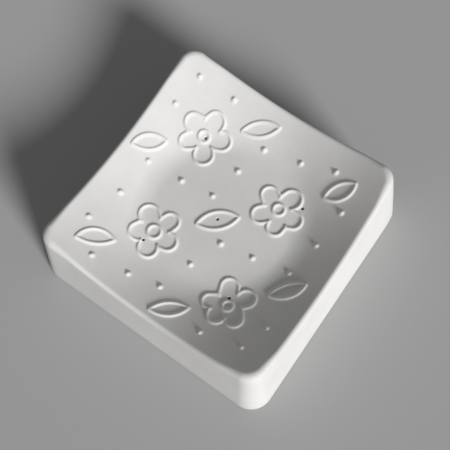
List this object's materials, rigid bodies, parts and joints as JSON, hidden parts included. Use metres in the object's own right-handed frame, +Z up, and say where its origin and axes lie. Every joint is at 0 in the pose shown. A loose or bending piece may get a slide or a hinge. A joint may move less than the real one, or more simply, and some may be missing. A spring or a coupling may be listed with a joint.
{
  "type": "clay texture slump mould",
  "caption": "Square ceramic slump mould with a round flat floor, flared corners and raised flowers, leaves and dots that mark a clay slab pressed into it.",
  "frame": {"origin": "middle of the footprint, on the plane that the foot rests on", "axes": "+Z up out of the dish, -Y towards the front wall, +X towards the right wall"},
  "size_m": [0.19, 0.19, 0.0638],
  "materials": {
    "bisque": "unglazed bisque-fired white earthenware, matt, fine dry grain"
  },
  "bodies": {
    "root": {"slump_mould": "bisque"}
  },
  "joints": []
}
